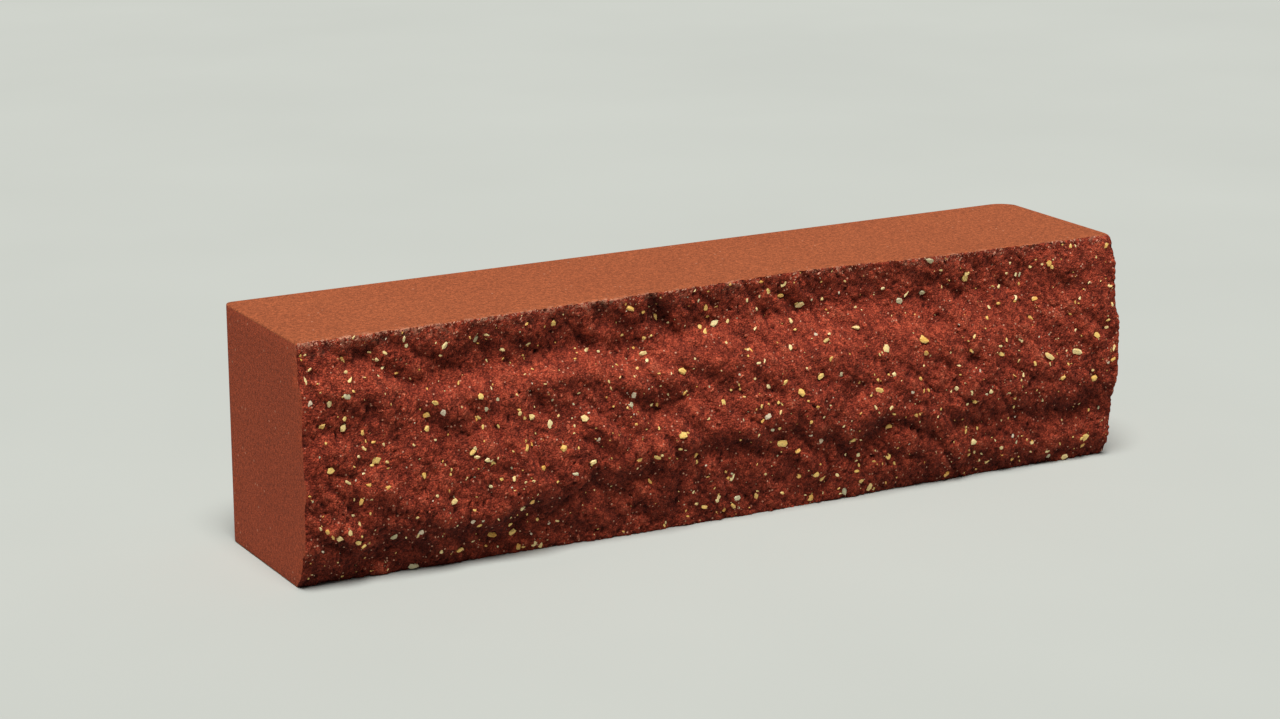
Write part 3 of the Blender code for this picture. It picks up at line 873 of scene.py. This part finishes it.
def add_dust(nodes, colour, place, colours):
    """Pale crushed dust where the mesh's dust value says, broken up by grain."""
    dust = nodes.marked("dust")
    grain = nodes.clouds(place, 900.0)
    patch = nodes.clouds(place, 160.0)
    broken = nodes.math("MULTIPLY", nodes.ramp(grain, 0.46, 0.60), nodes.ramp(patch, 0.40, 0.62))
    mask = nodes.math("MULTIPLY", dust, broken)
    return nodes.mix(nodes.math("MULTIPLY", mask, 0.70), colour, linear(colours.dust))


def pressed_material(name, colour, colours):
    """Pressed face: sandy terracotta, faintly clouded, with a few stray flecks of stone."""
    material, nodes, shader, place = new_material(name)
    sand = use_group(nodes, "Sand grain", place, Grains_per_metre=2300.0)
    cloud = use_group(nodes, "Broad mottle", place, Clouds_per_metre=38.0)
    fleck = use_group(nodes, "Stray flecks", place, Cells_per_metre=1000.0, Share=0.012)
    base = linear(colour)
    shaded = (base[0] * 0.93, base[1] * 0.90, base[2] * 0.90, 1.0)
    clouded = nodes.mix(cloud["Tone"], shaded, base)
    sandy = grained(nodes, clouded, sand, speckle=0.30, grain=0.20, gap=0.22)
    flecked = nodes.mix(nodes.math("MULTIPLY", fleck["Mask"], 0.40), sandy, linear(colours.dust))
    finish(nodes, shader, add_dust(nodes, flecked, place, colours), sand["Height"],
           roughness=0.92, specular=0.25, depth=0.25, strength=0.5)
    return material


def split_material(colours):
    """Split face: deep red crumb, darker in its pits and paler on its crests, as painted shade and
    a painted highlight, with more painted shade and light from how the face stands out round each
    point.
    """
    material, nodes, shader, place = new_material("split_face")
    sand = use_group(nodes, "Sand grain", place, Grains_per_metre=2100.0)
    cloud = use_group(nodes, "Broad mottle", place, Clouds_per_metre=110.0)
    fleck = use_group(nodes, "Stray flecks", place, Cells_per_metre=1150.0, Share=0.09)
    relief = nodes.marked("relief")
    # Painted shade on the low crumbs, which take the pit colour, and a painted highlight on the
    # high crumbs, which lean towards the crest colour.
    pits = nodes.mix(nodes.ramp(relief, -0.7, 0.15), linear(colours.pit), linear(colours.split))
    lit = nodes.mix(nodes.math("MULTIPLY", nodes.ramp(relief, 0.1, 0.7), 0.45), pits,
                    linear(colours.crest))
    mottle = nodes.mix(cloud["Tone"], shade(0.93, 0.95), shade(1.07, 1.03))
    clouded = nodes.mix(1.0, lit, mottle, "MULTIPLY")
    sandy = paint_shade_and_light(nodes, grained(nodes, clouded, sand, **MATRIX_GRAIN, paleness=1.12),
                      **MATRIX_PAINTED_SHADING)
    flecked = nodes.mix(nodes.math("MULTIPLY", fleck["Mask"], 0.7), sandy, linear(colours.dust))
    finish(nodes, shader, add_dust(nodes, flecked, place, colours), sand["Height"],
           roughness=0.95, specular=0.2, depth=0.6, strength=0.8)
    return material


def stone_material(name, colour, stain):
    """Broken stone: a clean tint clouded with a stain, a little different from chip to chip, with a
    mineral grain."""
    material, nodes, shader, place = new_material(name)
    sand = use_group(nodes, "Sand grain", place, Grains_per_metre=2600.0)
    cloud = use_group(nodes, "Broad mottle", place, Clouds_per_metre=520.0)
    amount = nodes.math("MULTIPLY", nodes.math("ADD", nodes.marked("tone"), cloud["Tone"]), 0.5)
    tint = nodes.mix(amount, linear(colour), linear(stain))
    finish(nodes, shader, grained(nodes, tint, sand, speckle=0.12, grain=0.08, gap=0.10),
           sand["Height"], roughness=0.42, specular=0.45, depth=0.2, strength=0.5)
    return material


def kind_material(kind, use, colours):
    """Broken stone of one kind, for its seated chips or for its grit."""
    return stone_material(f"{kind}_{use}_stone", getattr(colours, kind),
                          getattr(colours, f"{kind}_stain"))


def crumb_material(colours):
    """Loose crumbs of the matrix: the split face's reds, from one crumb to the next, with painted
    shade where the face stands out over a crumb and painted light where it is exposed.
    """
    material, nodes, shader, place = new_material("matrix_crumb")
    sand = use_group(nodes, "Sand grain", place, Grains_per_metre=1800.0)
    tint = nodes.mix(nodes.marked("tone"), linear(colours.split), linear(colours.crest))
    sandy = grained(nodes, tint, sand, **MATRIX_GRAIN, paleness=1.11)
    finish(nodes, shader, paint_shade_and_light(nodes, sandy, **MATRIX_PAINTED_SHADING), sand["Height"],
           roughness=0.95, specular=0.2, depth=0.5, strength=0.8)
    return material


# ---------------------------------------------------------------- settings

def colour_setting(name, description, default):
    """A colour property written as a display colour from 0 to 255."""
    return FloatVectorProperty(name=name, description=description, subtype="COLOR", size=3,
                               min=0.0, max=1.0, default=tuple(value / 255 for value in default))


def size_setting(name, description, default, least=0.0):
    """A size property in millimetres."""
    return FloatProperty(name=name, description=f"{description}, in millimetres", default=default,
                         min=least)


def count_setting(name, description, default, least=1):
    """A property that counts something."""
    return IntProperty(name=name, description=description, default=default, min=least)


class BrickShape(bpy.types.PropertyGroup):
    """Sizes of the brick's surfaces."""

    face_step: size_setting("Face step", "Spacing of the split face's points", 0.5, 0.3)
    arris_width: size_setting("Arris width", "Width of the blunted pressed edges", 0.5, 0.1)
    left_corner_radius: size_setting(
        "Left corner radius", "Upright back corner at the left end", 2.3, 0.6)
    right_corner_radius: size_setting(
        "Right corner radius", "Upright back corner at the right end", 6.5, 0.6)
    knob_height: size_setting("Knob height", "Height of the knobs on the split face", 0.42)
    pit_depth: size_setting("Pit depth", "Depth of the small pits in the split face", 1.6)
    crumb_height: size_setting("Crumb height", "Height of the crumbs on the split face", 0.28)
    drag_height: size_setting("Streak height", "Height of the torn streaks on the split face", 0.42)
    grain_height: size_setting("Grain height", "Height of single grains on the split face", 0.34)
    nick_depth: size_setting("Nick depth", "Depth of the bites out of the arrises", 0.9)
    bed_rows: count_setting("Bed rows", "Points from front to back on the top and the bed", 17, 6)
    back_rows: count_setting("Back rows", "Points from top to bottom on the back", 12, 4)


class StoneMix(bpy.types.PropertyGroup):
    """How many small stones show on the split face, and how large they are."""

    ochre: count_setting("Ochre grit", "Number of small ochre stones", 400)
    cream: count_setting("Cream grit", "Number of small cream stones", 350)
    grey: count_setting("Grey grit", "Number of small grey stones", 50)
    white: count_setting("White grit", "Number of small white stones", 50)
    crumbs: count_setting("Crumbs", "Number of loose matrix crumbs", 2600)
    arris: count_setting("Arris grit", "Number of crushed grains along the top arris", 620)
    middle_size: size_setting("Middle size", "Size that half of the small stones exceed", 0.92, 0.1)
    spread: FloatProperty(name="Spread", default=0.50, min=0.0,
                          description="Spread of the stone sizes, as a share on a log scale")
    seed: count_setting("Seed", "Start of the random draws", 5, 0)


class BrickColours(bpy.types.PropertyGroup):
    """Display colours of the brick and its stones."""

    bed: colour_setting("Pressed beds", "Terracotta of the top and the bed", (166, 88, 52))
    side: colour_setting("Moulded sides", "Redder terracotta of the ends and back", (174, 78, 47))
    split: colour_setting("Split face", "Deep red of the fresh fracture", (162, 60, 39))
    # Painted highlight on the split face's crests. The loose crumbs also take it as a tone of their
    # own, and the arris grit as its stain.
    crest: colour_setting("Crests", "Paler red on the crests of the crumbs", (180, 89, 65))
    # Painted shade in the low places of the split face.
    pit: colour_setting("Pits", "Dark red in the pits", (91, 29, 19))
    dust: colour_setting("Dust", "Pale dust of crushed stone along the top arris", (228, 170, 138))
    ochre: colour_setting("Ochre stone", "Yellow crushed stone", (255, 224, 134))
    ochre_stain: colour_setting("Ochre stain", "Iron stain in the yellow stone", (238, 170, 70))
    cream: colour_setting("Cream stone", "Cream crushed stone", (255, 238, 178))
    cream_stain: colour_setting("Cream stain", "Iron stain in the cream stone", (248, 206, 120))
    grey: colour_setting("Grey stone", "Grey-green crushed stone", (230, 222, 184))
    grey_stain: colour_setting("Grey stain", "Dark mineral in the grey stone", (190, 176, 128))
    white: colour_setting("White stone", "White crushed stone", (246, 234, 206))
    white_stain: colour_setting("White stain", "Warm mineral in the white stone", (214, 186, 148))


class StageSettings(bpy.types.PropertyGroup):
    """Floor, light and camera."""

    floor: colour_setting("Floor", "Colour of the plain floor", (191, 194, 187))
    sky_strength: FloatProperty(name="Sky strength", default=0.09, min=0.0,
                                description="Strength of the even light from all round")
    key_strength: FloatProperty(name="Key strength", default=3.90, min=0.0,
                                description="Strength of the broad light from above")
    key_softness: FloatProperty(name="Key softness", default=math.radians(28), subtype="ANGLE",
                                description="How wide the light from above looks from the brick")
    azimuth: FloatProperty(name="Azimuth", default=math.radians(-29.42), subtype="ANGLE",
                           description="Turn of the camera round the brick")
    elevation: FloatProperty(name="Elevation", default=math.radians(15.25), subtype="ANGLE",
                             description="Tilt of the camera over the brick")
    distance: FloatProperty(name="Distance", default=0.8233, min=0.1, unit="LENGTH",
                            description="Distance from the camera to the point it looks at")
    lens: size_setting("Focal length", "Focal length of the camera", 84.39, 1.0)


# ---------------------------------------------------------------- operators

FLOOR_REACH = 4000.0                        # millimetres
KEY_PLACE = Vector((-0.15, -0.27, 0.95))    # metres, as is the point that the camera looks at
TARGET = Vector((-0.0117, 0.0087, 0.0390))


def brick_settings(context):
    """The brick's sizes, its stone mix and its colours."""
    scene = context.scene
    return scene.brick_shape, scene.brick_stones, scene.brick_colours


def hang(name, data, place, facing):
    """Put a lamp or a camera in its place and turn it to a direction."""
    item = bpy.data.objects.new(name, data)
    item.location = place
    item.rotation_euler = facing.to_track_quat("-Z", "Y").to_euler()
    bpy.context.scene.collection.objects.link(item)
    return item


class BRICK_OT_body(bpy.types.Operator):
    """Build the brick's skin: pressed faces, blunted arrises and the split face"""

    bl_idname = "brick.body"
    bl_label = "Brick body"

    def execute(self, context):
        shape, _, colours = brick_settings(context)
        piece = brick_mesh(shape, [pressed_material("pressed_bed", colours.bed, colours),
                                   split_material(colours),
                                   pressed_material("moulded_side", colours.side, colours)])
        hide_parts(BRICK_NODE)
        settle(piece)
        return {"FINISHED"}


class BRICK_OT_chips(bpy.types.Operator):
    """Break the larger chips of crushed stone to shape in their seats"""

    bl_idname = "brick.chips"
    bl_label = "Seated chips"

    def execute(self, context):
        _, mix, colours = brick_settings(context)
        for turn, kind in enumerate(CHIP_KINDS):
            rng = np.random.default_rng(mix.seed + 10 + turn)
            names = sorted(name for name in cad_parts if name.startswith(f"{kind}_chip"))
            nodes = [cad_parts[name] for name in names]
            piece = seated_stones(f"{kind}_chips", nodes, rng,
                                  kind_material(kind, "chip", colours))
            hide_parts(*names)
            settle(piece)
        return {"FINISHED"}


class BRICK_OT_grit(bpy.types.Operator):
    """Scatter the small stones of each kind over the split face"""

    bl_idname = "brick.grit"
    bl_label = "Small stones"

    def execute(self, context):
        shape, mix, colours = brick_settings(context)
        for turn, kind in enumerate(CHIP_KINDS):
            rng = np.random.default_rng(mix.seed + turn)
            count = getattr(mix, kind)
            x, z = scattered(rng, count, gap=0.8, top_gap=0.6)
            sizes = random_sizes(rng, count, mix.middle_size, mix.spread, least=0.42, most=2.2)
            border = np.array(BORDER_STONES[kind])
            x, z, sizes = (np.concatenate(pair) for pair in zip((x, z, sizes), border.T))
            piece = swarm(f"{kind}_grit", (x, z), sizes, shape, rng,
                          kind_material(kind, "grit", colours), flatness=0.6, sunk=0.02)
            settle(piece)
        return {"FINISHED"}


class BRICK_OT_crumbs(bpy.types.Operator):
    """Scatter loose crumbs of the matrix over the split face"""

    bl_idname = "brick.crumbs"
    bl_label = "Matrix crumbs"

    def execute(self, context):
        shape, mix, colours = brick_settings(context)
        rng = np.random.default_rng(mix.seed + 20)
        x, z = scattered(rng, mix.crumbs, gap=0.6, top_gap=0.4)
        sizes = random_sizes(rng, mix.crumbs, middle=0.75, spread=0.4, least=0.35, most=1.8)
        piece = swarm("matrix_crumbs", (x, z), sizes, shape, rng, crumb_material(colours),
                      flatness=0.85, sunk=0.10)
        # Each crumb takes the mask of its place for painted shade and painted light.
        mark(piece.data, "shelter", np.repeat(shelter(x, z, shape), len(STONE_CORNERS)))
        settle(piece)
        return {"FINISHED"}


class BRICK_OT_arris(bpy.types.Operator):
    """Scatter pale crushed grains along the top arris of the split face"""

    bl_idname = "brick.arris"
    bl_label = "Arris grit"

    def execute(self, context):
        shape, mix, colours = brick_settings(context)
        rng = np.random.default_rng(mix.seed + 30)
        # Thicker towards the left end, and thinning out down the face.
        x = (LENGTH - 1.0) * rng.uniform(0.0, 1.0, mix.arris) ** 1.35 + 0.5
        z = HEIGHT - 0.15 - np.minimum(rng.exponential(0.7, mix.arris), 3.2)
        sizes = random_sizes(rng, mix.arris, middle=0.5, spread=0.35, least=0.25, most=1.1)
        material = stone_material("arris_grit_stone", colours.dust, colours.crest)
        piece = swarm("arris_grit", (x, z), sizes, shape, rng, material, flatness=0.7, sunk=0.08)
        settle(piece)
        return {"FINISHED"}


class BRICK_OT_stage(bpy.types.Operator):
    """Lay the pale floor, hang the key light, light the sky and set the camera"""

    bl_idname = "brick.stage"
    bl_label = "Stage"

    def execute(self, context):
        scene = context.scene
        settings = scene.brick_stage
        x, y = np.meshgrid((-FLOOR_REACH, FLOOR_REACH), (-FLOOR_REACH, FLOOR_REACH))
        points = np.stack([x.ravel(), y.ravel(), np.zeros(4)], axis=1)
        material, nodes, shader, place = new_material("floor")
        cloud = use_group(nodes, "Broad mottle", place, Clouds_per_metre=6.0)
        base = linear(settings.floor)
        dimmer = tuple(value * 0.96 for value in base[:3]) + (1.0,)
        nodes.feed(shader, "Base Color", nodes.mix(cloud["Tone"], dimmer, base))
        shader.inputs["Roughness"].default_value = 0.7
        shader.inputs["Specular IOR Level"].default_value = 0.2
        floor = new_piece("floor", points, [np.array([[0, 1, 3, 2]])], [material])

        lamp = bpy.data.lights.new("key_light", "SUN")
        lamp.angle = settings.key_softness
        lamp.energy = settings.key_strength
        hang("key_light", lamp, KEY_PLACE, -KEY_PLACE)

        world = bpy.data.worlds.new("even_sky")
        world.use_nodes = True
        sky = world.node_tree.nodes["Background"]
        sky.inputs["Color"].default_value = (1.0, 1.0, 1.0, 1.0)
        sky.inputs["Strength"].default_value = settings.sky_strength
        scene.world = world

        turn, tilt = settings.azimuth, settings.elevation
        back = Vector((math.sin(turn) * math.cos(tilt), -math.cos(turn) * math.cos(tilt),
                       math.sin(tilt)))
        lens = bpy.data.cameras.new("camera")
        lens.lens = settings.lens
        lens.sensor_width = 36.0
        scene.camera = hang("camera", lens, TARGET + back * settings.distance, -back)
        scene.view_settings.view_transform = "Standard"
        return {"FINISHED"}


class BRICK_PT_panel(bpy.types.Panel):
    """Brick settings and the steps that build it."""

    bl_idname = "BRICK_PT_panel"
    bl_label = "Split-face brick"
    bl_space_type = "VIEW_3D"
    bl_region_type = "UI"
    bl_category = "Brick"

    def draw(self, context):
        for name, holder in SETTINGS.items():
            box = self.layout.box()
            for key in holder.__annotations__:
                box.prop(getattr(context.scene, name), key)
        for operator in OPERATORS:
            self.layout.operator(operator.bl_idname)


SETTINGS = {"brick_shape": BrickShape, "brick_stones": StoneMix,
            "brick_colours": BrickColours, "brick_stage": StageSettings}
OPERATORS = (BRICK_OT_stage, BRICK_OT_body, BRICK_OT_chips, BRICK_OT_grit, BRICK_OT_crumbs,
             BRICK_OT_arris)


def register():
    """Register the settings, the operators and the panel."""
    for name, holder in SETTINGS.items():
        bpy.utils.register_class(holder)
        setattr(bpy.types.Scene, name, PointerProperty(type=holder))
    for operator in OPERATORS:
        bpy.utils.register_class(operator)
    bpy.utils.register_class(BRICK_PT_panel)


def unregister():
    """Take everything out again."""
    bpy.utils.unregister_class(BRICK_PT_panel)
    for operator in OPERATORS:
        bpy.utils.unregister_class(operator)
    for name, holder in SETTINGS.items():
        delattr(bpy.types.Scene, name)
        bpy.utils.unregister_class(holder)


def main():
    """Build everything in order."""
    register()
    bpy.ops.brick.stage()
    bpy.ops.brick.body()
    bpy.ops.brick.chips()
    bpy.ops.brick.grit()
    bpy.ops.brick.crumbs()
    bpy.ops.brick.arris()


if __name__ == "__main__":
    main()
